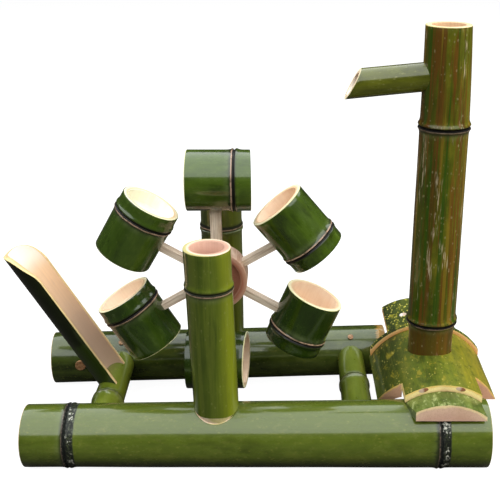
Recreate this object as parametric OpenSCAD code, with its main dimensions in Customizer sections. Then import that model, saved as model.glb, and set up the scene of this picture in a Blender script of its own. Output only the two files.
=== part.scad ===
// Bamboo waterwheel fountain, in millimetres.
// The origin is the centre of the column's foot on the floor. X runs along the rails, Y from
// the front rail to the rear one, and Z is up.

/* [Rails] */
// Length of the rear rail
rear_rail_length = 367; // [350:1:368]
// Diameter of the front rail at its thin left end
front_rail_thin_d = 59; // [57:0.5:61]
// Diameter of the front rail at its thick right end
front_rail_thick_d = 65; // [62:0.5:67]
// Diameter of the rear rail
rear_rail_d = 56; // [53:0.5:59]
// Wall of both rails
rail_wall = 9; // [7:0.5:10]
// Rail axis to rail axis, measured at the posts
rail_spacing = 168; // [162:1:176]
// Angle in degrees between the rear rail and the front one
rear_rail_skew = 3; // [0:0.5:4]
// Column axis to the front rail's axis
front_rail_offset = 80; // [78:1:84]
// Column axis to the left end of the front rail
front_rail_reach = 392; // [382:1:402]
// Column axis to the right end of the front rail
front_rail_past = 44; // [40:1:50]
// Column axis to the left end of the rear rail, along X
rear_rail_reach = 402; // [392:1:412]
// Depth planed off the undersides of the rails
planed_depth = 0.8; // [0.5:0.1:1.5]
// Left end of the front rail to its first node
front_rail_node_1 = 42; // [35:1:50]
// Right end of the front rail to its second node
front_rail_node_2 = 46; // [42:1:50]
// Left end of the rear rail to its round plug
plug_inset = 33; // [28:1:38]
// Diameter of the plug
plug_d = 11; // [9:0.5:13]
// Height of the plug above the rear rail's axis
plug_rise = 4; // [0:0.5:5]

/* [Crossbars] */
// Diameter of the crossbars at the front rail
crossbar_front_d = 31.5; // [29:0.5:33]
// Diameter of the crossbars at the rear rail
crossbar_rear_d = 28; // [26:0.5:30]
// Wall of the crossbars
crossbar_wall = 5; // [4:0.5:6]
// Height of the crossbars' axes above the floor
crossbar_z = 30; // [29:0.5:31]
// How far a crossbar's end runs past a rail's axis
crossbar_past = 8; // [5:0.5:9]
// Left end of the front rail to the left crossbar
left_crossbar_inset = 66.5; // [64:0.5:72]
// Column axis to the right crossbar
right_crossbar_reach = 74; // [72:1:82]
// Front rail's axis to the node of the left crossbar
left_crossbar_node = 57; // [54:1:60]
// Front rail's axis to the node of the right crossbar
right_crossbar_node = 91; // [80:1:105]
// Diameter of the pegs through the crossbars' ends
crossbar_peg_d = 6; // [5:0.5:7]
// Lean in degrees of the rear pegs from upright, towards the front
rear_peg_lean = 32; // [28:1:34]

/* [Posts] */
// Diameter of the posts
post_d = 41; // [39:0.5:45]
// Wall of the posts
post_wall = 5; // [4:0.5:6]
// Height of the posts' tops above the floor
post_top_z = 221; // [210:1:235]
// Height of the posts' nodes above the floor
post_node_z = 184; // [178:1:190]
// Height of the septum in the posts' feet above the floor
post_foot_septum_z = 78; // [75:1:90]
// Diameter of the dowels in the posts' feet
post_dowel_d = 10; // [8:0.5:12]

/* [Wheel] */
// Left crossbar to the wheel's axle, which keeps the cups clear of the trough
wheel_spacing = 112.5; // [110:0.5:118]
// Column axis to the wheel's middle plane, towards the rear rail
wheel_offset = 4; // [0:1:8]
// Height of the axle above the floor
wheel_z = 157.5; // [155:0.5:162]
// Number of cups on the wheel
cup_count = 6; // [6:1:6]
// Outer diameter of a cup
cup_d = 58; // [54:0.5:60]
// Wall of a cup
cup_wall = 5.5; // [4:0.5:7]
// Closed end of a cup to the middle of its septum
cup_septum = 15; // [13:0.5:16]
// Width of a spoke along the axle
spoke_w = 10; // [8:0.5:10.5]
// Thickness of the upright spokes across the wheel
upright_spoke_t = 10.5; // [8:0.5:11]
// Thickness of the four slanting spokes across the wheel
slant_spoke_t = 6.5; // [5:0.5:9]
// Diameter of the hub
hub_d = 59.5; // [56:0.5:63]
// Width of the hub along the axle
hub_w = 26; // [24:0.5:30]
// Wall of the hub
hub_wall = 6; // [5:0.5:8]
// Diameter of the axle
axle_d = 8; // [6:0.5:9]
// How far the axle's ends reach into the hollow posts
axle_past = 6; // [3:0.5:8]
// Outer diameter of the spacer sleeves
spacer_d = 15; // [13:0.5:15.5]

/* [Column and spout] */
// Diameter of the column at its foot
column_foot_d = 45; // [44:0.5:46]
// Diameter of the column just above its lower node
column_low_d = 47; // [46:0.5:48]
// Diameter of the column at its upper node
column_high_d = 45.5; // [44:0.5:46]
// Diameter of the column at its top
column_top_d = 41.5; // [41:0.5:43]
// Inner diameter of the column
column_bore_d = 34; // [32:0.5:35]
// Height of the column
column_height = 401; // [390:1:430]
// Height of the column's lower node
column_node_1 = 114; // [100:1:120]
// Column's top to its upper node
column_node_2_drop = 91; // [81:1:101]
// Diameter of the hose hole drilled through the septa
hose_hole_d = 13; // [10:0.5:18]
// Diameter of the spout
spout_d = 26.5; // [25:0.5:29]
// Wall of the spout
spout_wall = 4; // [3:0.5:5]
// Column's top to the spout's axis, at the column's axis
spout_drop = 44.5; // [36:0.5:49]
// Column axis to the lower lip of the spout
spout_reach = 94; // [85:1:105]
// Fall of the spout in degrees
spout_fall = 5.5; // [3:0.5:8]
// Angle in degrees of the spout's end cut from square
spout_cut = 33; // [25:1:37]
// How far the spout's inner end stays short of the column's axis
spout_inner_end = 6; // [4:0.5:9]

/* [Saddle] */
// Outer radius of the saddle shell
saddle_r = 65; // [63:0.5:67]
// Wall of the saddle shell
saddle_wall = 12; // [10:0.5:13]
// Wall of the saddle shell's thinned tongues
tongue_wall = 6.4; // [5:0.2:7.4]
// Height of the top of the saddle shell
saddle_top_z = 83; // [82:0.5:85]
// Column axis to the middle of the saddle, to the right
saddle_shift = 2; // [0:0.5:3]
// Height of the saddle shell's lower edges
saddle_edge_z = 47; // [45:0.5:50]
// Length along Y of the saddle shell's full-width part
saddle_length = 90; // [84:1:94]
// Middle of the saddle to the sides of the shell's front tongue
tongue_half_w = 36; // [33:0.5:38]
// Middle of the saddle to the right sides of the two back tongues
back_tongue_right = 32; // [29:0.5:33]
// Column axis to the front end of the front tongue
front_tongue_reach = 80; // [76:0.5:92]
// Column axis to the back end of the back tongue
back_tongue_reach = 96; // [90:1:100]
// Half width of the front block
block_half_w = 35; // [33:0.5:38]
// Height of the front block's flat underside
block_z = 60; // [58:0.5:61]
// Column axis to the front end of the front block
block_reach = 105; // [102:0.5:110]
// Thickness of the back shell
back_shell_wall = 4; // [3.5:0.5:5]
// Column axis to the front edge of the back shell
back_shell_start = 40; // [36:0.5:42]
// Width along Y of the back shell's full-width band
back_shell_band = 7; // [5:0.5:10]
// Half width of the back shell's band
back_shell_band_half_w = 57; // [54:0.5:58]
// Middle of the saddle to the left side of the back shell's tongue
back_shell_left = 39; // [37:0.5:41]
// Column axis to the back end of the back shell
back_shell_reach = 108; // [104:1:112]
// Diameter of the saddle's pegs
saddle_peg_d = 6; // [5:0.5:7]

/* [Trough] */
// Diameter of the trough's culm
trough_d = 49; // [46:0.5:52]
// Wall of the trough
trough_wall = 5; // [4:0.5:6]
// Crossbar's axis to the tip of the trough
trough_length = 175; // [170:1:182]
// Radius of the rounding of the trough's tip, seen from above
trough_tip_r = 27; // [25:0.5:30]
// Crossbar's axis to the start of the oblique cut in the trough's rims
trough_rim_end = 142; // [136:1:146]
// Length that the oblique cut needs to reach the trough's lowest wall
trough_tip_cut = 60; // [50:1:70]
// Lean of the trough in degrees above the floor
trough_lean = 59.5; // [57:0.5:62]
// Crossbar's axis to the plane of the trough's rims
trough_rim_rise = 13; // [11:0.5:13.5]
// Column axis to the middle of the trough, towards the rear rail
trough_offset = 15; // [12:1:18]
// Diameter of the hidden pin in the trough's foot
trough_pin_d = 3; // [2.5:0.1:3]

/* [Fits] */
// Radial clearance of the axle in its bearing holes
bearing_clearance = 0.08; // [0.05:0.01:0.1]
// Clearance of glued and pegged joints
glue_gap = 0.05; // [0.02:0.01:0.1]
// Clearance round the column in the saddle
column_gap = 0.2; // [0.1:0.05:0.3]
// End play of the wheel between the posts, at each side
end_play = 0.6; // [0.4:0.1:1]

/* [Culm] */
// Height of a node's ridge above the culm
ridge_h = 1.3; // [0.8:0.1:2]
// Width of a node's ridge along the culm
ridge_w = 6; // [4:0.5:8]
// Thickness of a septum
septum_t = 5; // [4:0.5:6]

/* [Hidden] */

$fn = 96;
// Length that a cutting shape runs on past a face
over = 1;
// Length of a cutting shape that clears the whole object
far = 600;

// The cups as the maker's hand left them, from the top one clockwise, seen from the front:
// axle to the spoke's place on the cup's axis, length, closed end to that place along the axis,
// and turn of the cup on its spoke in degrees, anticlockwise
cup_radii = [98.5, 93.5, 97, 93, 91.5, 91];
cup_lengths = [60.5, 64, 57.5, 60.5, 61, 61.5];
cup_spoke_places = [34, 28, 26.5, 33.5, 30, 35];
cup_turns = [0, 9.5, 6.5, 0, 1, 0];

// Taper of the front rail: it is tilted by this angle, so its underside lies level
front_rail_r1 = front_rail_thin_d / 2;
front_rail_r2 = front_rail_thick_d / 2;
front_rail_length = front_rail_reach + front_rail_past;
front_rail_nodes = [front_rail_node_1, front_rail_length - front_rail_node_2];
front_rail_tilt = atan((front_rail_r2 - front_rail_r1) / front_rail_length);
front_rail_start_z = front_rail_r1 * cos(front_rail_tilt) - planed_depth;
rear_rail_r = rear_rail_d / 2;
rear_rail_z = rear_rail_r - planed_depth;
rear_rail_offset = rail_spacing - front_rail_offset;
post_r = post_d / 2;
axle_r = axle_d / 2;
cup_r = cup_d / 2;
column_foot_r = column_foot_d / 2;
column_bore_r = column_bore_d / 2;
column_node_2 = column_height - column_node_2_drop;
spout_z = column_height - spout_drop;
left_crossbar_reach = front_rail_reach - left_crossbar_inset;
wheel_reach = left_crossbar_reach - wheel_spacing;
crossbar_reaches = [left_crossbar_reach, right_crossbar_reach];
crossbar_nodes = [left_crossbar_node, right_crossbar_node];
crossbar_start_y = -front_rail_offset - crossbar_past;

// Height of the front rail's axis at a distance from the column, towards the left
function front_rail_z(reach) =
    front_rail_start_z + (front_rail_reach - reach) * tan(front_rail_tilt);
// Y of the rear rail's axis at a distance from the column, towards the left
function rear_rail_y(reach) =
    rear_rail_offset + (wheel_reach - reach) * tan(rear_rail_skew);
// Length of a crossbar at a distance from the column
function crossbar_length(reach) =
    rear_rail_y(reach) + crossbar_past - crossbar_start_y;
// Radius at height z of a culm that tapers from r1 to r2 over its length
function culm_r(z, length, r1, r2) = r1 + (r2 - r1) * z / length;
// Outline of one node's ridge
function ridge(z, r) = [
    [r, z - ridge_w / 2],
    [r + ridge_h, z - ridge_w / 6],
    [r + ridge_h, z + ridge_w / 6],
    [r, z + ridge_w / 2]
];

// Full culm standing on its r1 end, with a ridge at each node
module culm_body(length, r1, r2, nodes) {
    ridges = [for (z = nodes) for (p = ridge(z, culm_r(z, length, r1, r2))) p];
    rotate_extrude()
        polygon(concat([[0, 0], [r1, 0]], ridges, [[r2, length], [0, length]]));
}

// Hollows of a culm between its septa, open at both ends
module culm_hollows(length, bore_r, septa) {
    for (i = [0 : len(septa)]) {
        low = i == 0 ? -over : septa[i - 1] + septum_t / 2;
        high = i == len(septa) ? length + over : septa[i] - septum_t / 2;
        translate([0, 0, low])
            cylinder(h = high - low, r = bore_r);
    }
}

// Turns a shape that stands on Z so that it lies along Y
module along_y() {
    rotate([-90, 0, 0])
        children();
}

// Puts a culm that stands on Z in the place of the front rail
module place_front_rail() {
    translate([-front_rail_reach, -front_rail_offset, front_rail_start_z])
        rotate([0, 90 - front_rail_tilt, 0])
        children();
}

// Puts a culm that stands on Z in the place of the rear rail
module place_rear_rail() {
    translate([-wheel_reach, rear_rail_offset, rear_rail_z])
        rotate([0, 0, rear_rail_skew])
        translate([-(rear_rail_reach - wheel_reach) / cos(rear_rail_skew), 0, 0])
        rotate([0, 90, 0])
        children();
}

// Space that the front rail and its node ridges take, grown by a gap
module front_rail_space(gap) {
    place_front_rail() {
        cylinder(h = front_rail_length, r1 = front_rail_r1 + gap, r2 = front_rail_r2 + gap);
        for (z = front_rail_nodes) {
            r = culm_r(z, front_rail_length, front_rail_r1, front_rail_r2) + ridge_h + gap;
            translate([0, 0, z - ridge_w / 2 - gap])
                cylinder(h = ridge_w + 2 * gap, r = r);
        }
    }
}

// Space that the rear rail takes, grown by a gap
module rear_rail_space(gap) {
    place_rear_rail()
        cylinder(h = rear_rail_length, r = rear_rail_r + gap);
}

// Everything below the floor
module below_floor() {
    translate([-far, -far, -far])
        cube([2 * far, 2 * far, far]);
}

// Space that a crossbar takes, grown by a gap
module crossbar_space(i, gap) {
    reach = crossbar_reaches[i];
    translate([-reach, crossbar_start_y - gap, crossbar_z])
        along_y()
        cylinder(
            h = crossbar_length(reach) + 2 * gap,
            r1 = crossbar_front_d / 2 + gap,
            r2 = crossbar_rear_d / 2 + gap
        );
}

// Pegs through the crossbars' ends: slanting from above in the rear rail, from below in the
// front one
module crossbar_peg_shapes(gap) {
    for (reach = crossbar_reaches) {
        peg_foot = crossbar_z - crossbar_rear_d / 2 + crossbar_wall / 2;
        rear_low = (peg_foot - rear_rail_z) / cos(rear_peg_lean);
        rear_high = rear_rail_r + crossbar_peg_d / 4;
        translate([-reach, rear_rail_y(reach), rear_rail_z])
            rotate([rear_peg_lean, 0, 0])
            translate([0, 0, rear_low - gap])
            cylinder(h = rear_high - rear_low + 2 * gap, d = crossbar_peg_d + 2 * gap);
        peg_head = crossbar_z + crossbar_front_d / 2 - crossbar_wall / 2;
        translate([-reach, -front_rail_offset, over - gap])
            cylinder(h = peg_head - over + 2 * gap, d = crossbar_peg_d + 2 * gap);
    }
}

// Dowels that stand in the rails' top walls and reach into the posts' foot septa
module post_dowel_shapes(gap) {
    top = post_foot_septum_z + septum_t / 2;
    front_low = front_rail_z(wheel_reach) + front_rail_r1 - 2 * rail_wall;
    rear_low = rear_rail_z + rear_rail_r - 2 * rail_wall;
    for (place = [[-front_rail_offset, front_low], [rear_rail_offset, rear_low]])
        translate([-wheel_reach, place[0], place[1]])
            cylinder(h = top - place[1], d = post_dowel_d + 2 * gap);
}

// Brown plug in the rear rail's front wall near its left end
plug_reach = rear_rail_reach - plug_inset;
module plug_shape(gap) {
    face = rear_rail_y(plug_reach) - rear_rail_r;
    translate([-plug_reach, face - plug_d / 20, rear_rail_z + plug_rise])
        along_y()
        cylinder(h = rail_wall, d = plug_d + 2 * gap);
}

module front_rail() {
    color("darkolivegreen")
    difference() {
        place_front_rail()
            difference() {
                culm_body(front_rail_length, front_rail_r1, front_rail_r2, front_rail_nodes);
                culm_hollows(front_rail_length, front_rail_r1 - rail_wall, front_rail_nodes);
            }
        below_floor();
        crossbar_space(0, glue_gap);
        crossbar_space(1, glue_gap);
        crossbar_peg_shapes(glue_gap);
        post_dowel_shapes(glue_gap);
    }
}

module rear_rail() {
    color("darkolivegreen")
    difference() {
        place_rear_rail()
            difference() {
                culm_body(rear_rail_length, rear_rail_r, rear_rail_r, []);
                culm_hollows(rear_rail_length, rear_rail_r - rail_wall, []);
            }
        below_floor();
        crossbar_space(0, glue_gap);
        crossbar_space(1, glue_gap);
        crossbar_peg_shapes(glue_gap);
        post_dowel_shapes(glue_gap);
        plug_shape(glue_gap);
    }
}

// Crossbar with one node, open inside, its ends bored for the pegs
module crossbar(i) {
    reach = crossbar_reaches[i];
    length = crossbar_length(reach);
    nodes = [crossbar_nodes[i] + crossbar_past];
    color("olivedrab")
    difference() {
        translate([-reach, crossbar_start_y, crossbar_z])
            along_y()
            difference() {
                culm_body(length, crossbar_front_d / 2, crossbar_rear_d / 2, nodes);
                culm_hollows(length, crossbar_rear_d / 2 - crossbar_wall, nodes);
            }
        crossbar_peg_shapes(glue_gap);
        if (i == 0)
            trough_pin_shape(glue_gap);
    }
}

module left_crossbar() {
    crossbar(0);
}

module right_crossbar() {
    crossbar(1);
}

module crossbar_pegs() {
    color("wheat")
        crossbar_peg_shapes(0);
}

module rear_rail_plug() {
    color("sienna")
        plug_shape(0);
}

// Post at a place in Y that starts at its rail's axis height; side is where its wheel hole faces
module post(y, start_z, side) {
    length = post_top_z - start_z;
    septa = [post_foot_septum_z - start_z, post_node_z - start_z];
    difference() {
        translate([-wheel_reach, y, start_z])
            difference() {
                culm_body(length, post_r, post_r, [septa[1]]);
                culm_hollows(length, post_r - post_wall, septa);
            }
        post_dowel_shapes(glue_gap);
        translate([-wheel_reach, y, wheel_z])
            rotate([-90 * side, 0, 0])
            cylinder(h = post_r + over, r = axle_r + bearing_clearance);
    }
}

module front_post() {
    color("olivedrab")
    difference() {
        post(-front_rail_offset, front_rail_z(wheel_reach), 1);
        front_rail_space(glue_gap);
    }
}

module rear_post() {
    color("olivedrab")
    difference() {
        post(rear_rail_offset, rear_rail_z, -1);
        rear_rail_space(glue_gap);
    }
}

module post_dowels() {
    color("wheat")
        post_dowel_shapes(0);
}

// Y of the two ends of the axle, the faces of the posts and the faces of the hub's septum
axle_front_y = -front_rail_offset + post_r - post_wall - axle_past;
axle_rear_y = rear_rail_offset - post_r + post_wall + axle_past;
front_post_face_y = -front_rail_offset + post_r;
rear_post_face_y = rear_rail_offset - post_r;
hub_septum_back_y = wheel_offset - spoke_w / 2 - glue_gap;
hub_septum_front_y = hub_septum_back_y - septum_t;
// Radius at which the spokes start, clear of one another
spoke_start_r = max(spacer_d / 2, upright_spoke_t / 2 / tan(180 / cup_count)) + over;

// Round bar along the wheel's axis between two places in Y
module wheel_bar(y1, y2, r) {
    translate([-wheel_reach, y1, wheel_z])
        along_y()
        cylinder(h = y2 - y1, r = r);
}

// Turns a shape from the wheel's own X axis to the place of a cup, counted from the top one
module at_cup(n) {
    translate([-wheel_reach, wheel_offset, wheel_z])
        rotate([0, 360 / cup_count * n - 90, 0])
        children();
}

// Space that one spoke takes, grown by a gap
module spoke_space(n, gap) {
    reach = cup_radii[n] - cup_r + cup_wall - spoke_start_r;
    t = n % (cup_count / 2) == 0 ? upright_spoke_t : slant_spoke_t;
    at_cup(n)
        translate([spoke_start_r - gap, -spoke_w / 2 - gap, -t / 2 - gap])
        cube([reach + 2 * gap, spoke_w + 2 * gap, t + 2 * gap]);
}

module axle() {
    color("burlywood")
        wheel_bar(axle_front_y, axle_rear_y, axle_r);
}

module hub() {
    front = wheel_offset - hub_w / 2;
    back = wheel_offset + hub_w / 2;
    hollow_r = hub_d / 2 - hub_wall;
    color("tan")
    difference() {
        wheel_bar(front, back, hub_d / 2);
        wheel_bar(front - over, hub_septum_front_y, hollow_r);
        wheel_bar(hub_septum_back_y, back + over, hollow_r);
        wheel_bar(front, back, axle_r + glue_gap);
        for (n = [0 : cup_count - 1])
            spoke_space(n, glue_gap);
    }
}

// Sleeve on the axle
module spacer(y1, y2) {
    color("burlywood")
    difference() {
        wheel_bar(y1, y2, spacer_d / 2);
        wheel_bar(y1 - over, y2 + over, axle_r + glue_gap);
    }
}

module front_spacer() {
    spacer(front_post_face_y + end_play, hub_septum_front_y);
}

module rear_spacer() {
    spacer(hub_septum_back_y, rear_post_face_y - end_play);
}

module spoke(n) {
    color("burlywood")
        spoke_space(n, 0);
}

// Cup whose open end leads round the wheel anticlockwise, seen from the front
module cup(n) {
    color("darkgreen")
    difference() {
        at_cup(n)
            translate([cup_radii[n], 0, 0])
            rotate([0, -cup_turns[n], 0])
            translate([0, 0, -cup_spoke_places[n]])
            difference() {
                culm_body(cup_lengths[n], cup_r, cup_r, [cup_septum]);
                culm_hollows(cup_lengths[n], cup_r - cup_wall, [cup_septum]);
            }
        spoke_space(n, glue_gap);
    }
}

// Space that the spout takes, grown by a gap, with its end cut
spout_length = (spout_reach - spout_inner_end) / cos(spout_fall);
module spout_space(r, gap) {
    translate([0, 0, spout_z])
        rotate([0, -90 - spout_fall, 0])
        translate([0, 0, spout_inner_end])
        cylinder(h = spout_length + gap, r = r + gap);
}

module column() {
    nodes = [column_node_1, column_node_2];
    outline = concat(
        [[0, 0], [column_foot_r, 0]],
        ridge(column_node_1, column_low_d / 2),
        ridge(column_node_2, column_high_d / 2),
        [[column_top_d / 2, column_height], [0, column_height]]
    );
    color("olive")
    difference() {
        rotate_extrude()
            polygon(outline);
        culm_hollows(column_height, column_bore_r, nodes);
        translate([0, 0, over])
            cylinder(h = column_node_2 + septum_t, d = hose_hole_d);
        spout_space(spout_d / 2, glue_gap);
    }
}

module spout() {
    color("olivedrab")
    difference() {
        spout_space(spout_d / 2, 0);
        translate([0, 0, spout_z])
            rotate([0, -90 - spout_fall, 0])
            cylinder(h = spout_reach + over, r = spout_d / 2 - spout_wall);
        translate([0, 0, spout_z])
            rotate([0, -90 - spout_fall, 0])
            translate([-spout_d / 2, 0, spout_inner_end + spout_length])
            rotate([0, spout_cut, 0])
            translate([-far / 2, -far / 2, 0])
            cube([far, far, far]);
    }
}

// Centre height of the saddle's arcs
saddle_z = saddle_top_z - saddle_r;
saddle_half_length = saddle_length / 2;
block_r = saddle_r - tongue_wall;

// Arc of culm shell along Y between two radii, from left to right of the saddle's middle
module tile(r_out, r_in, y1, y2, left, right, low_z) {
    intersection() {
        translate([saddle_shift, y1, saddle_z])
            along_y()
            difference() {
                cylinder(h = y2 - y1, r = r_out);
                translate([0, 0, -over])
                    cylinder(h = y2 - y1 + 2 * over, r = r_in);
            }
        translate([saddle_shift - left, y1 - over, low_z])
            cube([left + right, y2 - y1 + 2 * over, far]);
    }
}

// Pegs of the saddle as [x, y, back shell or not]: two at the front tongue's edge, whose sides
// show in the cut face there, and one behind the column
saddle_peg_depth = 6;
saddle_peg_proud = 0.4;
front_peg_y = saddle_peg_d / 2 - saddle_peg_proud - front_tongue_reach;
saddle_peg_places = [[-20, front_peg_y, 0], [12, front_peg_y, 0], [-16, 70, 1]];
module saddle_peg_shapes(gap) {
    for (place = saddle_peg_places) {
        top_r = saddle_r + place[2] * back_shell_wall + saddle_peg_proud;
        low_r = saddle_r - tongue_wall - (1 - place[2]) * saddle_peg_depth;
        lean = asin(place[0] / saddle_r);
        translate([saddle_shift, place[1], saddle_z])
            rotate([0, lean, 0])
            translate([0, 0, low_r - gap])
            cylinder(h = top_r - low_r + 2 * gap, d = saddle_peg_d + 2 * gap);
    }
}

module saddle_shell() {
    color("olive")
    difference() {
        union() {
            tile(saddle_r, saddle_r - saddle_wall, -saddle_half_length, saddle_half_length,
                saddle_r, saddle_r, saddle_edge_z);
            tile(saddle_r, block_r + glue_gap, -front_tongue_reach, over - saddle_half_length,
                tongue_half_w, tongue_half_w, saddle_edge_z);
            tile(saddle_r, block_r, saddle_half_length - over, back_tongue_reach,
                tongue_half_w, back_tongue_right - over, saddle_edge_z);
        }
        cylinder(h = column_node_1, r1 = column_foot_r + column_gap, r2 = column_low_d / 2 + column_gap);
        saddle_peg_shapes(glue_gap);
    }
}

module saddle_back_shell() {
    inner_r = saddle_r + glue_gap;
    outer_r = inner_r + back_shell_wall;
    band_end = back_shell_start + back_shell_band;
    color("olive")
    difference() {
        union() {
            tile(outer_r, inner_r, back_shell_start, band_end, back_shell_band_half_w,
                back_shell_band_half_w, saddle_edge_z);
            tile(outer_r, inner_r, band_end - over, back_shell_reach, back_shell_left,
                back_tongue_right, saddle_edge_z);
        }
        saddle_peg_shapes(glue_gap);
    }
}

module saddle_front_block() {
    color("olive")
    difference() {
        tile(block_r, over, -block_reach, -saddle_half_length - glue_gap, block_half_w,
            block_half_w, block_z);
        front_rail_space(glue_gap);
        saddle_peg_shapes(glue_gap);
    }
}

module saddle_pegs() {
    color("peru")
        saddle_peg_shapes(0);
}

// Puts a shape whose Z runs up the trough and whose X points out of its open side in place
module place_trough() {
    translate([-left_crossbar_reach, trough_offset, crossbar_z])
        rotate([0, trough_lean - 90, 0])
        children();
}

// Hidden pin along the middle of the trough's lowest wall, into the crossbar
trough_r = trough_d / 2;
trough_pin_x = trough_rim_rise - trough_r + trough_wall / 2;
trough_pin_length = 24;
module trough_pin_shape(gap) {
    place_trough()
        translate([trough_pin_x, 0, 2 - gap])
        cylinder(h = trough_pin_length + 2 * gap, d = trough_pin_d + 2 * gap);
}

// Block as long as the trough, with the round end that the tip has, seen from above
module trough_tip_space() {
    round_z = trough_length - trough_tip_r;
    translate([-trough_d, -trough_d, -over])
        cube([2 * trough_d, 2 * trough_d, round_z + over]);
    translate([-trough_d, 0, round_z])
        rotate([0, 90, 0])
        cylinder(h = 2 * trough_d, r = trough_tip_r);
}

module trough() {
    color("darkolivegreen")
    difference() {
        place_trough()
            difference() {
                intersection() {
                    translate([trough_rim_rise, 0, 0])
                        cylinder(h = trough_length, r = trough_r);
                    trough_tip_space();
                }
                translate([trough_rim_rise, 0, -over])
                    cylinder(h = trough_length + 2 * over, r = trough_r - trough_wall);
                translate([trough_rim_rise, -far / 2, -far / 2])
                    cube([far, far, far]);
                translate([trough_rim_rise, 0, trough_rim_end])
                    rotate([0, -atan(trough_r / trough_tip_cut), 0])
                    translate([0, -far / 2, -far / 2])
                    cube([far, far, far]);
            }
        crossbar_space(0, glue_gap);
        trough_pin_shape(glue_gap);
    }
}

module trough_pin() {
    color("peru")
        trough_pin_shape(0);
}

front_rail();
rear_rail();
left_crossbar();
right_crossbar();
crossbar_pegs();
rear_rail_plug();
front_post();
rear_post();
post_dowels();
axle();
hub();
front_spacer();
rear_spacer();
spoke(0);  // spoke_1
spoke(1);  // spoke_2
spoke(2);  // spoke_3
spoke(3);  // spoke_4
spoke(4);  // spoke_5
spoke(5);  // spoke_6
cup(0);  // cup_1
cup(1);  // cup_2
cup(2);  // cup_3
cup(3);  // cup_4
cup(4);  // cup_5
cup(5);  // cup_6
column();
spout();
saddle_shell();
saddle_back_shell();
saddle_front_block();
saddle_pegs();
trough();
trough_pin();
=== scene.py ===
"""Bamboo waterwheel fountain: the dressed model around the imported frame."""
import math
import bmesh
import bpy
from mathutils import Matrix, Vector, noise


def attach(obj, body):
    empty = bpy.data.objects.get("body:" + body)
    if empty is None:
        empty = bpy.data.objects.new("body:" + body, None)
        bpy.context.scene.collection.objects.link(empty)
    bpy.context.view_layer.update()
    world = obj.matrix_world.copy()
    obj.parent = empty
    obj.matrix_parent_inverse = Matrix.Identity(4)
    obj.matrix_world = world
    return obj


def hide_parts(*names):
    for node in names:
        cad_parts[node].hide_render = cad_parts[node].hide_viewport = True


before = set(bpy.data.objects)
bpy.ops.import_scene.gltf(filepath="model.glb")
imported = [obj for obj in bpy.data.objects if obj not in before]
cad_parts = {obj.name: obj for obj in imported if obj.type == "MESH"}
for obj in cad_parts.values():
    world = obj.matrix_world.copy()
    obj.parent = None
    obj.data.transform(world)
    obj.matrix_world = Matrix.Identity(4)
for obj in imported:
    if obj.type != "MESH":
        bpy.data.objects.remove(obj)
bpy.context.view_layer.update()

MM = 0.001
SKIN, CUT, LINING, SEPTUM = range(4)
SMOOTH_ANGLE = math.radians(38)
WHITE = (1000, 1000, 1000)


def move(x, y, z):
    return Matrix.Translation((x * MM, y * MM, z * MM))


def turn(degrees, axis):
    return Matrix.Rotation(math.radians(degrees), 4, axis)


# Shader helpers

class Nodes:
    """Short names for building a node tree, with colours as linear thousandths."""

    def __init__(self, owner):
        owner.use_nodes = True
        self.tree = owner.node_tree
        self.tree.nodes.clear()

    def add(self, kind, inputs, **settings):
        """A new node whose inputs are linked to a socket or set to a value."""
        n = self.tree.nodes.new(kind)
        for key, value in settings.items():
            setattr(n, key, value)
        for key, value in inputs.items():
            socket = n.inputs[key]
            if isinstance(value, bpy.types.NodeSocket):
                self.tree.links.new(value, socket)
            else:
                color = socket.type == "RGBA"
                socket.default_value = (*(part / 1000 for part in value), 1.0) if color else value
        return n

    def math(self, operation, *values, clamp=False):
        inputs = dict(enumerate(values))
        return self.add("ShaderNodeMath", inputs, operation=operation, use_clamp=clamp).outputs[0]

    def plus(self, a, b):
        return self.math("ADD", a, b)

    def times(self, a, b):
        return self.math("MULTIPLY", a, b)

    def distance(self, value, place):
        return self.math("ABSOLUTE", self.math("SUBTRACT", value, place))

    def swing(self, pattern, amount):
        """A pattern of 0 to 1 turned into a swing about 0."""
        return self.times(self.math("SUBTRACT", pattern, 0.5), amount)

    def mix(self, factor, a, b):
        return self.add("ShaderNodeMix", {"Factor": factor, 6: a, 7: b}, data_type="RGBA").outputs[2]

    def span(self, value, low, high, out_low=0.0, out_high=1.0, shape="SMOOTHSTEP"):
        inputs = {"Value": value, "From Min": low, "From Max": high, "To Min": out_low, "To Max": out_high}
        return self.add("ShaderNodeMapRange", inputs, interpolation_type=shape).outputs[0]


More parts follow.
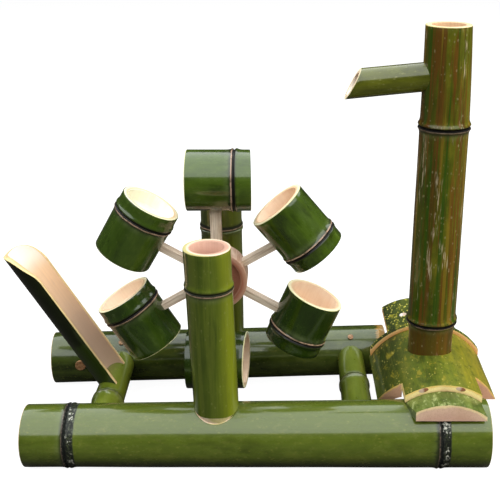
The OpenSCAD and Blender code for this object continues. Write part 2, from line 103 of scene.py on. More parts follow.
class Paint(Nodes):
    """A material in the object's coordinates, whose colour is painted in layers."""

    def __init__(self, name, color):
        self.material = bpy.data.materials.new(name)
        super().__init__(self.material)
        self.place = self.add("ShaderNodeTexCoord", {}).outputs["Object"]
        self.color = color

    def axis(self, letter):
        return self.add("ShaderNodeSeparateXYZ", {0: self.place}).outputs[letter]

    def stretched(self, sizes, shift):
        inputs = {"Vector": self.place, "Scale": sizes, "Location": shift}
        return self.add("ShaderNodeMapping", inputs).outputs[0]

    def noise(self, sizes, shift=(0, 0, 0), detail=3.0, rough=0.55, distort=0.0):
        inputs = {"Scale": 1.0, "Detail": detail, "Roughness": rough, "Distortion": distort}
        inputs["Vector"] = self.stretched(sizes, shift)
        return self.add("ShaderNodeTexNoise", inputs).outputs[0]

    def cells(self, sizes, scale, shift=(0, 0, 0)):
        inputs = {"Vector": self.stretched(sizes, shift), "Scale": scale}
        return self.add("ShaderNodeTexVoronoi", inputs).outputs["Distance"]

    def cover(self, tint, factor):
        self.color = self.mix(factor, self.color, tint)

    def paint(self, tint, pattern, low, high, strength=1.0):
        """Covers the colour where the pattern has passed low, and fully where it has passed high."""
        self.cover(tint, self.span(pattern, low, high, 0.0, strength))

    def surface(self, rough, height, depth, bump_mm=0.6, coat=0.0, coat_rough=0.2, ior=1.45, spec=0.3):
        bump = self.add("ShaderNodeBump", {"Strength": depth, "Distance": bump_mm * MM, "Height": height})
        shader = self.add("ShaderNodeBsdfPrincipled", {
            "Base Color": self.color, "Roughness": rough, "Normal": bump.outputs[0], "IOR": ior,
            "Specular IOR Level": spec, "Coat Weight": coat, "Coat Roughness": coat_rough, "Coat IOR": 1.55,
        })
        self.add("ShaderNodeOutputMaterial", {"Surface": shader.outputs[0]})
        return self.material


# Bamboo materials

class Skin(Paint):
    """Culm skin whose fibres run along the object's Z, with a seed that shifts its patterns."""

    def __init__(self, name, dark, seed, rough, coat):
        super().__init__(name, dark)
        self.dark = dark
        self.shifts = (seed * 0.37, seed * 0.73, seed * 0.19)
        self.broad = self.pattern((26, 26, 7))
        self.long_streaks = self.pattern((260, 260, 5), 4.0, 0.6)
        self.fibres = self.pattern((1500, 1500, 22), 2.0, 0.6)
        self.patches = self.pattern((75, 75, 38), 5.0, 0.62)
        fine = self.plus(self.times(self.fibres, 0.22), self.times(self.long_streaks, 0.5))
        self.height = self.plus(fine, self.times(self.patches, 3.5))
        self.gloss = self.plus(rough, self.swing(self.patches, 0.22))
        self.coat = coat

    def pattern(self, sizes, detail=3.0, rough=0.55, order=(0, 1, 2), distort=0.0):
        return self.noise(sizes, [self.shifts[k] for k in order], detail, rough, distort)

    def dull(self, rough_where, gloss, bare_where, coat):
        """Makes the skin rougher and takes the wax off it."""
        self.gloss = self.plus(self.gloss, self.times(rough_where, gloss))
        self.coat = self.math("SUBTRACT", self.coat, self.times(bare_where, coat), clamp=True)

    def tones(self, mid, light):
        tone = self.plus(self.times(self.broad, 0.55), self.times(self.patches, 0.45))
        self.paint(mid, tone, 0.36, 0.52)
        self.paint(light, tone, 0.5, 0.68)

    def sides(self, radius, low_tint, high_tint, strength):
        # Painted light and shade: low_tint is painted on the side towards -X and high_tint on the side
        # towards +X.
        lean = self.plus(self.axis("X"), self.swing(self.broad, radius * 0.5 * MM))
        self.paint(low_tint, lean, -0.2 * radius * MM, -radius * MM, strength)
        self.paint(high_tint, lean, 0.1 * radius * MM, radius * MM, strength)

    def zones(self, *zones):
        """Bands along Z: (low, high, tint, strength, whether only the top side has it)."""
        wave = self.plus(self.axis("Z"), self.swing(self.long_streaks, 0.012))
        for low, high, tint, strength, top_only in zones:
            above = self.span(wave, (low - 2) * MM, (low + 2) * MM)
            inside = self.times(above, self.span(wave, (high + 2) * MM, (high - 2) * MM))
            if top_only:
                inside = self.times(inside, self.span(self.axis("X"), -0.006, -0.016))
            self.cover(tint, self.times(inside, strength))

    def streaks(self, strength, tint):
        self.paint(tint, self.pattern((135, 135, 5), 5.0, 0.66, (1, 2, 0)), 0.47, 0.56, strength)
        thin = self.pattern((330, 330, 17), 5.0, 0.66, (2, 1, 0))
        self.paint(self.mix(0.6, tint, self.dark), thin, 0.52, 0.58, 0.75 * strength)

    def green_stripes(self, strength):
        fresh = self.pattern((120, 120, 2.6), 4.0, 0.55, (0, 2, 1))
        self.paint((22, 65, 3), fresh, 0.52, 0.6, strength)
        self.paint((220, 150, 12), fresh, 0.46, 0.38, 0.75 * strength)

    def stained_foot(self, height, tint):
        below = self.plus(self.axis("Z"), self.swing(self.patches, 0.02))
        self.paint(tint, below, (height + 1) * MM, (height - 1) * MM, 0.7)

    def fibre_tones(self, light):
        self.paint(self.mix(0.6, self.color, self.dark), self.long_streaks, 0.35, 0.75, 0.3)
        self.paint(light, self.fibres, 0.45, 0.8, 0.16)

    def blotches(self, strength, tint):
        mottle = self.pattern((150, 150, 90), 6.0, 0.7, (2, 0, 1), 0.6)
        self.paint(tint, mottle, 0.54, 0.64, strength)
        self.paint(self.dark, mottle, 0.46, 0.36, 0.8 * strength)

    def flecks(self, strength, tint, bare=0.5):
        """Small pale spots; bare is the share of the skin's noise that stays without them."""
        spots = self.span(self.cells((1, 1, 0.6), 330.0, self.shifts), 0.34, 0.16)
        chosen = self.span(self.pattern((180, 180, 120), 2.0), bare, bare + 0.12)
        self.cover(tint, self.times(self.times(spots, chosen), strength))

    def scratches(self, strength):
        worn = self.span(self.pattern((900, 900, 45), 3.0, 0.6, (1, 0, 2)), 0.5, 0.6)
        where = self.span(self.pattern((90, 90, 14), 3.0, 0.6), 0.55, 0.64)
        self.cover((500, 400, 260), self.times(self.times(worn, where), strength))

    def ring(self, place, flip, black, pale_scar, crust):
        """A node's bloom, painted shade on both sides of its groove, the black groove and a pale leaf scar;
        flip is -1 where the scar lies above.
        """
        off = self.plus(self.math("SUBTRACT", self.axis("Z"), place * MM), self.swing(self.patches, 0.0014))
        off = self.times(off, flip)
        bloom = self.times(self.span(self.distance(off, -0.004), 0.007, 0.0),
                           self.span(self.patches, 0.4, 0.62, 0.25, 0.8))
        self.cover((200, 240, 110), self.times(bloom, 0.35))
        # Painted shade on both sides of the node's groove.
        shade = self.span(self.distance(off, -0.0012), 0.0052, 0.0016, 0.0, 0.75)
        self.cover((12, 14, 6), self.times(shade, black))
        groove = self.span(self.distance(off, -0.0001), 0.0019, 0.0011)
        self.cover((6, 5, 4), self.times(groove, black))
        scar = self.span(self.distance(off, -0.0021), 0.0009, 0.0004)
        broken = self.span(self.pattern((160, 160, 160)), 0.34, 0.5, 0.35, 1.0)
        self.cover((420, 270, 190), self.times(scar, self.times(broken, pale_scar)))
        if crust:
            self.crust(off, crust)
        self.dull(groove, 0.4, groove, 0.8)

    def crust(self, off, strength):
        """Black soot with pale chips beside a node's groove."""
        grit = self.pattern((520, 520, 520), 5.0, 0.75)
        lumps = self.pattern((130, 130, 130), 4.0, 0.6)
        near = self.span(self.distance(off, 0.0028), 0.0062, 0.0046)
        flakes = self.times(near, self.span(grit, 0.38, 0.5))
        self.cover((45, 50, 42), self.times(near, 0.7 * strength))
        self.cover((6, 7, 6), self.times(flakes, strength))
        core = self.span(self.distance(off, 0.0035), 0.0045, 0.0025)
        chips = self.pattern((330, 330, 330), 4.0, 0.6, (2, 1, 0))
        pale = self.times(self.times(self.span(chips, 0.5, 0.56), self.span(lumps, 0.52, 0.58)), core)
        self.cover((500, 500, 430), self.times(pale, strength))
        self.height = self.plus(self.height, self.times(pale, 1.2))
        self.dull(near, 0.35, flakes, 0.75)


LAYERS = ("tones", "sides", "zones", "streaks", "green_stripes", "stained_foot", "fibre_tones", "blotches",
          "flecks", "scratches")


def skin_material(
    name, dark, mid, light, seed, rings=(), ring_flip=1.0, black=1.0, pale_scar=0.9, crust=0.0, rough=0.3,
    coat=1.0, **layers
):
    """Culm skin; layers holds the values of the methods of Skin that LAYERS names."""
    skin = Skin(name, dark, seed, rough, coat)
    layers.update(tones=(mid, light), fibre_tones=(light,))
    for layer in LAYERS:
        if layer in layers:
            getattr(skin, layer)(*layers[layer])
    for place in rings:
        skin.ring(place, ring_flip, black, pale_scar, crust)
    gloss = skin.math("MAXIMUM", skin.gloss, 0.05)
    return skin.surface(gloss, skin.height, 0.14, coat=skin.coat, coat_rough=0.12, ior=1.5, spec=0.2)


def grain_material(name, outer, inner, rim, r_in, r_out, seed, dots=0.5, ears=None):
    """Cut end of a culm wall: a dense pale rim under the skin, softer and darker inwards."""
    n = Paint(name, inner)
    x, y = n.axis("X"), n.axis("Y")
    r = n.math("SQRT", n.plus(n.times(x, x), n.times(y, y)))
    wear = n.noise((90, 90, 90), (seed, seed * 2, 0), 4.0)
    depth = n.plus(n.span(r, r_in * MM, r_out * MM, shape="LINEAR"), n.swing(wear, 0.35))
    n.paint(outer, depth, 0.15, 0.8)
    if ears:
        n.cover(ears, n.times(n.span(n.math("ABSOLUTE", x), 0.0355, 0.038), n.span(depth, 1.2, 1.0)))
    n.paint(rim, depth, 0.86, 1.02, 0.8)
    bundles = n.cells((1, 1, 0.15), 950.0)
    n.paint(n.mix(0.45, n.color, (250, 120, 50)), bundles, 0.42, 0.2, dots)
    stain = n.noise((35, 35, 35), (seed, 1.3, seed), 4.0)
    n.paint(n.mix(0.5, n.color, (400, 200, 90)), stain, 0.5, 0.72, 0.35)
    fibre = n.noise((1300, 1300, 60), detail=2.0)
    return n.surface(0.62, n.plus(n.times(bundles, 0.5), n.times(fibre, 0.4)), 0.25, 0.5)


def lining_material(name, near, deep, seed, mouth=None, bright_from=32, bright_to=8):
    """Inner wall of a culm: smooth pale membrane with long faint fibres and stains.

    mouth: the heights in mm of the lit mouth and of the dark end; between them the wall fades into painted
    shade.
    The wall is painted brightest, as painted light, between bright_from and bright_to inside the mouth.
    """
    n = Paint(name, near)
    streaks = n.noise((480, 480, 9), (seed, 0, seed), 4.0)
    n.paint(n.mix(0.5, near, deep), streaks, 0.3, 0.75, 0.5)
    n.paint(deep, n.noise((45, 45, 22), (0, seed, 0), 5.0, 0.6), 0.48, 0.7, 0.5)
    if mouth:
        z = n.axis("Z")
        # Painted shade that deepens from the mouth into the bore.
        n.paint(deep, z, mouth[0] * MM, mouth[1] * MM)
        # Painted light just inside the mouth.
        n.paint((1000, 960, 860), z, (mouth[0] - bright_from) * MM, (mouth[0] - bright_to) * MM, 0.9)
    return n.surface(0.55, streaks, 0.18)


def stick_material(name, pale, brown, sizes, seed):
    """Raw split bamboo with fibres along the axis whose size is small."""
    n = Paint(name, brown)
    fibres = n.noise(sizes, (seed, seed * 1.7, 0), 4.0, 0.65)
    n.paint(pale, fibres, 0.36, 0.68)
    stain = n.noise((60, 60, 60), (seed, 0, seed), 4.0)
    n.paint(n.mix(0.55, n.color, brown), stain, 0.5, 0.72, 0.45)
    return n.surface(0.6, fibres, 0.35)


def spoke_wood(k, degrees):
    """Raw wood whose fibres run along a spoke that stands at an angle about the axle."""
    n = Paint("spoke_%d_wood" % k, (480, 340, 240))
    center = [v * MM for v in (WHEEL_X, WHEEL_Y, WHEEL_Z)]
    inputs = {"Vector": n.place, "Angle": -math.radians(degrees), "Center": center}
    n.place = n.add("ShaderNodeVectorRotate", inputs, rotation_type="Y_AXIS").outputs[0]
    seed = k - 1
    fibres = n.noise((900, 900, 24), (seed * 1.3, 0, seed), 4.0, 0.65)
    n.paint((860, 740, 610), fibres, 0.34, 0.66)
    n.paint((450, 280, 140), n.noise((70, 70, 30), (seed, seed, 0), 4.0), 0.5, 0.7, 0.5)
    return n.surface(0.55, fibres, 0.35)


def peg_wood(name, pale, brown, half_x):
    """Peg whose head is pale on its left and brown on its right."""
    n = Paint(name, pale)
    fibres = n.noise((500, 500, 500), (2.5, 4.2, 0), 4.0, 0.65)
    lean = n.plus(n.axis("X"), n.swing(fibres, 0.003))
    n.paint(brown, lean, -0.3 * half_x * MM, 0.3 * half_x * MM)
    return n.surface(0.6, fibres, 0.35)


# Mesh helpers

NODE_PROFILE = (
    (-9.0, 0.0), (-6.5, 0.06), (-4.6, 0.26), (-3.4, 0.55), (-2.6, 0.85), (-2.15, 1.12), (-1.75, 1.2),
    (-1.35, 1.05), (-1.0, 0.35), (-0.6, 0.02), (-0.1, -0.05), (0.4, 0.1), (0.8, 0.55), (1.3, 0.95),
    (2.0, 1.15), (2.8, 1.0), (3.8, 0.62), (5.0, 0.28), (6.6, 0.08), (9.0, 0.0),
)
NODE_REACH = 9.2
SEPTUM_HALF = 2.5
WAVE_LIMIT = 0.12


def outer_rows(low, high, radius, nodes, step, flip, swell):
    """Rows (z, r) of a culm's skin between two heights, with a shaped ridge at each node."""
    rows = {}
    count = max(2, int((high - low) / step))
    for i in range(count + 1):
        z = low + (high - low) * i / count
        if all(abs(z - place) > NODE_REACH for place in nodes):
            rows[round(z, 4)] = radius(z)
    for place in nodes:
        for dz, dr in NODE_PROFILE:
            z = place + dz * flip
            if low < z < high:
                rows[round(z, 4)] = radius(z) + dr * swell
    for z in (round(low, 4), round(high, 4)):
        rows.setdefault(z, radius(z))
    return sorted(rows.items())


def end_rows(z, r_out, r_in, sign, bevel):
    """Rows across a cut end, from the skin inwards; sign is the way that the end faces."""
    part = bevel * 0.3
    return [
        (z - sign * bevel, r_out, CUT), (z - sign * part, r_out - part, CUT), (z, r_out - bevel, CUT),
        (z - sign * 0.12, (r_out + r_in) / 2, CUT), (z, r_in + bevel, CUT),
        (z - sign * part, r_in + part, LINING), (z - sign * bevel, r_in, LINING),
    ]


def bore_rows(z_from, z_to, r, step=8.0):
    count = max(1, int(abs(z_to - z_from) / step))
    return [(z_from + (z_to - z_from) * i / count, r, LINING) for i in range(1, count)]


def tube_path(low, high, radius, bore, nodes=(), step=9.0, flip=1.0, swell=1.0, bevel=0.7, foot_edge=CUT,
              top_bore=None):
    """Path from the bore over a culm's foot, skin and tip back into the bore."""
    path = end_rows(low, radius(low), bore, -1.0, bevel)[::-1]
    path[-3:] = [(z, r, foot_edge) for z, r, _ in path[-3:]]
    path[-1] = (*path[-1][:2], SKIN)
    rows = outer_rows(low + bevel, high - bevel, radius, nodes, step, flip, swell)
    path += [(z, r, SKIN) for z, r in rows[1:-1]]
    return path + end_rows(high, radius(high), top_bore or bore, 1.0, bevel)


def septum_rows(z, bore, side):
    """Points from a culm's wall to its axis over a septum; side is where the open bore lies."""
    points = ((2.0, bore), (0.8, bore - 0.8), (-0.2, bore * 0.75), (-0.5, bore * 0.35), (0.0, 0.0))
    return [(z + side * dz, r) for dz, r in points]


def blind_path(low, high, radius, bore, nodes, septa, bevel=0.7, **options):
    """Path of a culm that is open at both ends down to a septum: axis, foot, skin, tip, axis."""
    floor_z, roof_z = septa[0] - SEPTUM_HALF, septa[1] + SEPTUM_HALF
    kinds = [SEPTUM] * 3 + [LINING] * 2
    path = [(*row, kind) for row, kind in zip(septum_rows(floor_z, bore, -1.0)[::-1], kinds)]
    path += bore_rows(floor_z - 2.0, low + bevel, bore)
    path += tube_path(low, high, radius, bore, nodes, bevel=bevel, **options)
    path += bore_rows(high - bevel, roof_z + 2.0, bore)
    kinds = [LINING] + [SEPTUM] * 4
    return path + [(*row, kind) for row, kind in zip(septum_rows(roof_z, bore, 1.0), kinds)]


def add_face(bm, verts, kind):
    """A face without its repeated corners, if it has more than two."""
    corners = list(dict.fromkeys(verts))
    if len(corners) > 2:
        bm.faces.new(corners).material_index = kind


def cut_with(o, shapes, cut_material):
    """Takes simple closed shapes out of a piece, and gives the new faces a material."""
    bm = bmesh.new()
    for shape in shapes:
        shape(bm)
    mesh = bpy.data.meshes.new("cutter")
    bm.to_mesh(mesh)
    bm.free()
    mesh.materials.append(cut_material)
    cutter = bpy.data.objects.new("cutter", mesh)
    bpy.context.collection.objects.link(cutter)
    cut = o.modifiers.new("cut", "BOOLEAN")
    cut.operation = "DIFFERENCE"
    cut.solver = "EXACT"
    cut.material_mode = "TRANSFER"
    cut.use_self = len(shapes) > 1
    cut.object = cutter
    bpy.context.view_layer.update()
    evaluated = o.evaluated_get(bpy.context.evaluated_depsgraph_get())
    new_mesh = bpy.data.meshes.new_from_object(evaluated)
    old_mesh = o.data
    o.modifiers.clear()
    o.data = new_mesh
    bpy.data.meshes.remove(old_mesh)
    bpy.data.objects.remove(cutter, do_unlink=True)
    bpy.data.meshes.remove(mesh)
    new_mesh.name = o.name


def finish_mesh(bm, name, matrix, materials, replaced, body="frame", cutters=()):
    """Makes a piece of a mesh, takes the cutters out of it and smooths it, with sharp edges kept."""
    bmesh.ops.remove_doubles(bm, verts=bm.verts, dist=1e-7)
    bmesh.ops.recalc_face_normals(bm, faces=bm.faces)
    mesh = bpy.data.meshes.new(name)
    bm.to_mesh(mesh)
    bm.free()
    for m in materials:
        mesh.materials.append(m)
    o = bpy.data.objects.new(name, mesh)
    bpy.context.collection.objects.link(o)
    o.matrix_world = matrix
    bpy.context.view_layer.update()
    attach(o, body)
    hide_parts(replaced)
    if cutters:
        cut_with(o, cutters, materials[CUT])
    o.data.shade_smooth()
    o.data.set_sharp_from_angle(angle=SMOOTH_ANGLE)


def revolve(
    name, path, matrix, materials, replaced, body="frame", cutters=(), loop=False, segs=128, warp=None,
    wave=0.25, seed=0.0, floor_cut=False
):
    """Mesh of revolution round local Z. path: (z, r, kind); a radius of 0 closes on the axis."""
    bm = bmesh.new()
    back = matrix.inverted()
    rings = []
    for z, r, _ in path:
        if r <= 1e-6:
            rings.append([bm.verts.new((0, 0, z * MM))] * segs)
            continue
        ring = []
        for i in range(segs):
            a = 2 * math.pi * i / segs
            spot = Vector((math.cos(a) * 0.9 + seed, math.sin(a) * 0.9, z * 0.012 + seed * 3))
            wavy_r = r + min(wave * noise.noise(spot), WAVE_LIMIT)
            q = Vector((wavy_r * math.cos(a), wavy_r * math.sin(a), z))
            if warp is not None:
                q = warp(q)
            q = q * MM
            if floor_cut:
                w = matrix @ q
                if w.z < 0.0:
                    w.z = 0.0
                    q = back @ w
            ring.append(bm.verts.new(q))
        rings.append(ring)
    for a in range(len(rings) if loop else len(rings) - 1):
        b = (a + 1) % len(rings)
        for i in range(segs):
            j = (i + 1) % segs
            add_face(bm, (rings[a][i], rings[a][j], rings[b][j], rings[b][i]), path[a][2])
    finish_mesh(bm, name, matrix, materials, replaced, body, cutters)


def rod(matrix, length, r1, r2=None, segs=96):
    """A cutter: a round rod standing on local Z of a matrix."""
    def build(bm):
        bmesh.ops.create_cone(
            bm, cap_ends=True, segments=segs, radius1=r1 * MM, radius2=(r1 if r2 is None else r2) * MM,
            depth=length * MM, matrix=matrix @ move(0, 0, length / 2)
        )
    return build


def block(matrix, low, high):
    """A cutter: a box between two corners in the space of a matrix."""
    size = [(b - a) * MM for a, b in zip(low, high)]
    middle = [(b + a) / 2 for a, b in zip(low, high)]

    def build(bm):
        bmesh.ops.create_cube(bm, size=1.0, matrix=matrix @ move(*middle) @ Matrix.Diagonal((*size, 1.0)))
    return build


def lines(*stops):
    """Values from stop to stop: (value, number of steps to the next)."""
    values = []
    for (a, count), (b, _) in zip(stops, stops[1:]):
        values += [a + (b - a) * i / count for i in range(count)]
    return values + [stops[-1][0]]


def bent(*pairs):
    """Piecewise straight function through pairs of (value, result)."""
    def value_at(v):
        for (a, low), (b, high) in zip(pairs, pairs[1:]):
            if v <= b:
                return low + (high - low) * (v - a) / (b - a)
        return pairs[-1][1]
    return value_at


def slope(degrees):
    return math.tan(math.radians(degrees))


# Sizes in mm, as in the CAD model

GAP = 0.06
FRONT_Y = -80.0
RAIL_LENGTH, RAIL_REACH, RAIL_R1, RAIL_R2, RAIL_BORE = 436.0, 392.0, 29.5, 32.5, 20.5
RAIL_R_MEAN = (RAIL_R1 + RAIL_R2) / 2
RAIL_NODES = (42.0, 390.0)
RAIL_SLOPE = (RAIL_R2 - RAIL_R1) / RAIL_LENGTH
RAIL_START_Z = RAIL_R1 * math.cos(math.atan(RAIL_SLOPE)) - 0.8
REAR_LENGTH, REAR_REACH, REAR_R, REAR_BORE, REAR_SKEW = 367.0, 402.0, 28.0, 19.0, 3.0
REAR_SKIN_R = REAR_R - 0.2
REAR_Y, REAR_Z = 88.0, 27.2
PLUG_R, PLUG_INSET, PLUG_RISE, PLUG_OUT, PLUG_DEPTH = 5.5, 33.0, 4.0, 0.55, 9.0
WHEEL_X, WHEEL_Y, WHEEL_Z = -213.0, 4.0, 157.5
CROSS_X, CROSS_Z, CROSS_R1, CROSS_R2, CROSS_BORE = (-325.5, -74.0), 30.0, 15.75, 14.0, 9.0
CROSS_NODES = (65.0, 99.0)
CROSS_START, CROSS_PAST_REAR = -88.0, 8.0
POST_R, POST_BORE, POST_TOP, POST_NODE, POST_SEPTUM = 20.5, 15.5, 221.0, 184.0, 78.0
FOOT_ROW, FOOT_BLEND = 2.0, 14.0
FRONT_LEAN, LEAN_Z = slope(1.5), 140.0
AXLE_R, BEARING_START, BEARING_LENGTH, BEARING_GAP = 4.0, 8.0, 14.0, 0.08
SPOKE_W, SPOKE_TS, SPOKE_IN_CUP = 10.0, (10.5, 6.5, 6.5), 5.5
SPOKE_START = SPOKE_TS[0] / 2 / math.tan(math.pi / 6) + 1.0
CUP_R, CUP_BORE, CUP_SEPTUM = 29.0, 23.5, 15.0
CUP_RADII = (98.5, 93.5, 97.0, 93.0, 91.5, 91.0)
CUP_LENGTHS = (60.5, 64.0, 57.5, 60.5, 61.0, 61.5)
CUP_PLACES = (34.0, 28.0, 26.5, 33.5, 30.0, 35.0)
CUP_TURNS = (0.0, 9.5, 6.5, 0.0, 1.0, 0.0)
HUB_R, HUB_BORE, HUB_W, HUB_SEPTUM = 29.75, 23.75, 26.0, 5.0
COLUMN_BORE, COLUMN_TOP_BORE, COLUMN_TOP, COLUMN_FOOT_R, HOSE_R = 17.0, 15.0, 401.0, 21.5, 6.5
COLUMN_MID_R, COLUMN_UPPER_R, COLUMN_TOP_R = 23.5, 22.75, 20.75
COLUMN_NODES = (114.0, 310.0)
SPOUT_R, SPOUT_BORE, SPOUT_Z, SPOUT_FALL, SPOUT_CUT = 13.25, 9.25, 356.5, 5.5, 33.0
SPOUT_START, SPOUT_REACH = 6.0, 94.0
SPOUT_END = SPOUT_START + (SPOUT_REACH - SPOUT_START) / math.cos(math.radians(SPOUT_FALL))
SADDLE_X, SADDLE_Z, SADDLE_R, SADDLE_WALL, TONGUE_WALL = 2.0, 18.0, 65.0, 12.0, 6.4
SADDLE_LOW_Z, SHELL_Y, EAR_Y, TONGUE_Y, BACK_TONGUE_Y = 47.0, 45.0, -57.0, -80.0, 96.0
TONGUE_HALF, BACK_LEFT, BACK_RIGHT = 36.0, 36.0, 31.0
BAND_R, BAND_WALL, BAND_Y, BAND_BACK_Y, TAIL_Y = SADDLE_R + 0.05, 4.0, 40.0, 47.0, 108.0
BAND_HALF, TAIL_LEFT, TAIL_RIGHT = 57.0, 39.0, 32.0
SLAB_HALF, SLAB_FRONT_Y, SLAB_LOW_Z, RIDGE_HALF, RIDGE_ROOM = 35.0, -105.0, 60.0, 3.2, 1.3
TROUGH_R, TROUGH_BORE, TROUGH_LEAN, TROUGH_RISE, TROUGH_Y = 24.5, 19.5, 59.5, 13.0, 15.0
SEAT_GAP = 0.08


def rail_axis_z(x):
    return RAIL_START_Z + (RAIL_REACH + x) * RAIL_SLOPE


def rail_radius(z):
    return RAIL_R1 + (RAIL_R2 - RAIL_R1) * z / RAIL_LENGTH


def rear_axis_y(x):
    return REAR_Y + (x - WHEEL_X) * slope(REAR_SKEW)


RAIL_PLACE = move(-RAIL_REACH, FRONT_Y, RAIL_START_Z + RAIL_SLOPE * RAIL_LENGTH / 2) @ turn(90, "Y")
REAR_PLACE = (
    move(WHEEL_X, REAR_Y, REAR_Z) @ turn(REAR_SKEW, "Z")
    @ move(-(REAR_REACH + WHEEL_X) / math.cos(math.radians(REAR_SKEW)), 0, 0) @ turn(90, "Y")
)
CROSS_PLACES = [move(x, CROSS_START, CROSS_Z) @ turn(-90, "X") for x in CROSS_X]
CROSS_LENGTHS = [rear_axis_y(x) + CROSS_PAST_REAR - CROSS_START for x in CROSS_X]
WHEEL_PLACE = move(WHEEL_X, WHEEL_Y, WHEEL_Z)
SPOUT_PLACE = move(0, 0, SPOUT_Z) @ turn(-90 - SPOUT_FALL, "Y")
SADDLE_PLACE = move(SADDLE_X, 0, SADDLE_Z) @ turn(-90, "X")


# Rails

rail_cut = grain_material(
    "rail_cut", (560, 420, 220), (360, 190, 100), (200, 200, 60), RAIL_BORE, RAIL_R_MEAN, 1.0
)
rail_inside = [
    lining_material("rail_lining", (500, 340, 200), (300, 170, 90), 1.0),
    lining_material("rail_septum", (420, 270, 160), (220, 110, 60), 2.0),
]


def cross_cutters():
    return [
        rod(place @ move(0, 0, -GAP), length + 2 * GAP, CROSS_R1 + GAP, CROSS_R2 + GAP)
        for place, length in zip(CROSS_PLACES, CROSS_LENGTHS)
    ]


def rail_rise(q):
    """Lifts the front rail's axis towards its thick end."""
    q.x -= RAIL_SLOPE * (q.z - RAIL_LENGTH / 2)
    return q


def add_front_rail():
    skin = skin_material(
        "rail_skin", (40, 55, 6), (90, 125, 13), (150, 180, 22), 1.0, rough=0.26,
        # Painted light on the rail's top and painted shade on its underside.
        sides=(24.0, (88, 120, 12), (4, 7, 2), 0.95), rings=RAIL_NODES, crust=0.95,
        zones=((384.5, 388, (8, 10, 6), 0.75, False),), blotches=(0.2, (200, 200, 50)),
        flecks=(0.25, (300, 280, 60)),
    )
    path = blind_path(0, RAIL_LENGTH, rail_radius, RAIL_BORE, RAIL_NODES, RAIL_NODES, step=8.0, swell=0.9)
    revolve("front_rail_culm", path, RAIL_PLACE, [skin, rail_cut, *rail_inside], "front_rail",
            cutters=cross_cutters(), segs=160, wave=0.35, seed=3.0, warp=rail_rise, floor_cut=True)


def add_rear_rail():
    skin = skin_material(
        "rear_rail_skin", (20, 30, 5), (60, 85, 12), (110, 140, 25), 4.0, rough=0.24,
        zones=((358, 390, (550, 300, 60), 0.95, True), (362, 390, (620, 400, 200), 0.6, True)),
        flecks=(0.2, (300, 300, 80)),
    )
    path = tube_path(0, REAR_LENGTH, lambda z: REAR_SKIN_R, REAR_BORE, step=8.0)
    path += bore_rows(REAR_LENGTH - 0.7, 0.7, REAR_BORE, 20.0)
    plug_x = PLUG_INSET - REAR_REACH
    plug_place = move(plug_x, rear_axis_y(plug_x) - REAR_R - PLUG_OUT, REAR_Z + PLUG_RISE) @ turn(-90, "X")
    cutters = cross_cutters() + [rod(plug_place, PLUG_DEPTH, PLUG_R + GAP, segs=48)]
    revolve("rear_rail_culm", path, REAR_PLACE, [skin, rail_cut, *rail_inside], "rear_rail",
            cutters=cutters, loop=True, segs=144, wave=0.35, seed=7.0, floor_cut=True)


def add_crossbar(k, side_name, seed):
    skin = skin_material(
        side_name + "_crossbar_skin", (70, 100, 8), (130, 170, 14), (200, 240, 30), seed,
        # Painted shade on the bar's left side and painted light on its right side.
        sides=(15.0, (60, 80, 8), (200, 230, 20), 0.6), flecks=(0.1, (600, 500, 100)),
        rings=(CROSS_NODES[k],), pale_scar=0.1, black=0.5,
    )
    length, node = CROSS_LENGTHS[k], CROSS_NODES[k]
    path = blind_path(0, length, lambda z: CROSS_R1 + (CROSS_R2 - CROSS_R1) * z / length, CROSS_BORE, (node,),
                      (node, node), step=6.0, bevel=0.4)
    revolve(side_name + "_crossbar_culm", path, CROSS_PLACES[k], [skin, rail_cut, *rail_inside],
            side_name + "_crossbar", segs=96, wave=0.2, seed=seed)


add_front_rail()
add_rear_rail()
add_crossbar(0, "left", 11.0)
add_crossbar(1, "right", 14.0)


# Posts

post_cut = grain_material(
    "post_cut", (800, 620, 460), (550, 320, 240), (420, 400, 120), POST_BORE, POST_R, 2.0
)
post_lining = lining_material("post_lining", (720, 460, 360), (520, 300, 220), 3.0)
post_septum = lining_material("post_septum", (480, 290, 200), (340, 180, 120), 4.0)


def add_post(side_name, tones, side, seed, x, y, axis_z, rail_r, face, r, node_z, lean):
    """A post fish-mouthed over a rail; face is the way along Y to the wheel."""
    # The side tints are painted shade on the post's left and painted light on its right.
    skin = skin_material(
        side_name + "_post_skin", *tones, seed, sides=(POST_R, *side), streaks=(0.3, (170, 200, 25)),
        flecks=(0.15, (400, 400, 150)), rings=(POST_NODE,), black=0.8, rough=0.34,
    )
    foot = axis_z + rail_r + 1.0
    mark = foot + FOOT_ROW
    path = blind_path(foot, POST_TOP, lambda z: r, POST_BORE, (node_z,), (POST_SEPTUM, POST_NODE), step=5.0,
                      swell=1.1)
    first = [kind for _, _, kind in path].index(SKIN)
    path[first:first + 1] = [
        (foot + 0.1, r - 1.6, CUT), (foot + 0.3, r - 1.1, CUT), (foot + FOOT_ROW / 2, r - 0.6, CUT),
        (mark - 0.1, r - 0.25, CUT), (mark, r, SKIN),
    ]

    def saddle_foot(q):
        """Sets the foot's rows on the rail, with a bare crescent that is highest in front and behind."""
        seat = axis_z + math.sqrt(max((rail_r + GAP) ** 2 - q.y ** 2, 0.0))
        bare = 1.2 + 6.6 * (q.y / math.hypot(q.x, q.y)) ** 4
        q.x -= (q.z - LEAN_Z) * lean
        if q.z <= mark:
            q.z = seat + (q.z - foot) / FOOT_ROW * bare
        elif q.z < foot + FOOT_BLEND:
            share = (q.z - mark) / (FOOT_BLEND - FOOT_ROW)
            q.z = seat + bare + share * (foot + FOOT_BLEND - seat - bare)
        return q

    bearing = move(WHEEL_X, y + face * BEARING_START, WHEEL_Z) @ turn(-90 * face, "X")
    revolve(side_name + "_post_culm", path, move(x, y, 0), [skin, post_cut, post_lining, post_septum],
            side_name + "_post", seed=seed, warp=saddle_foot,
            cutters=[rod(bearing, BEARING_LENGTH, AXLE_R + BEARING_GAP, segs=48)])


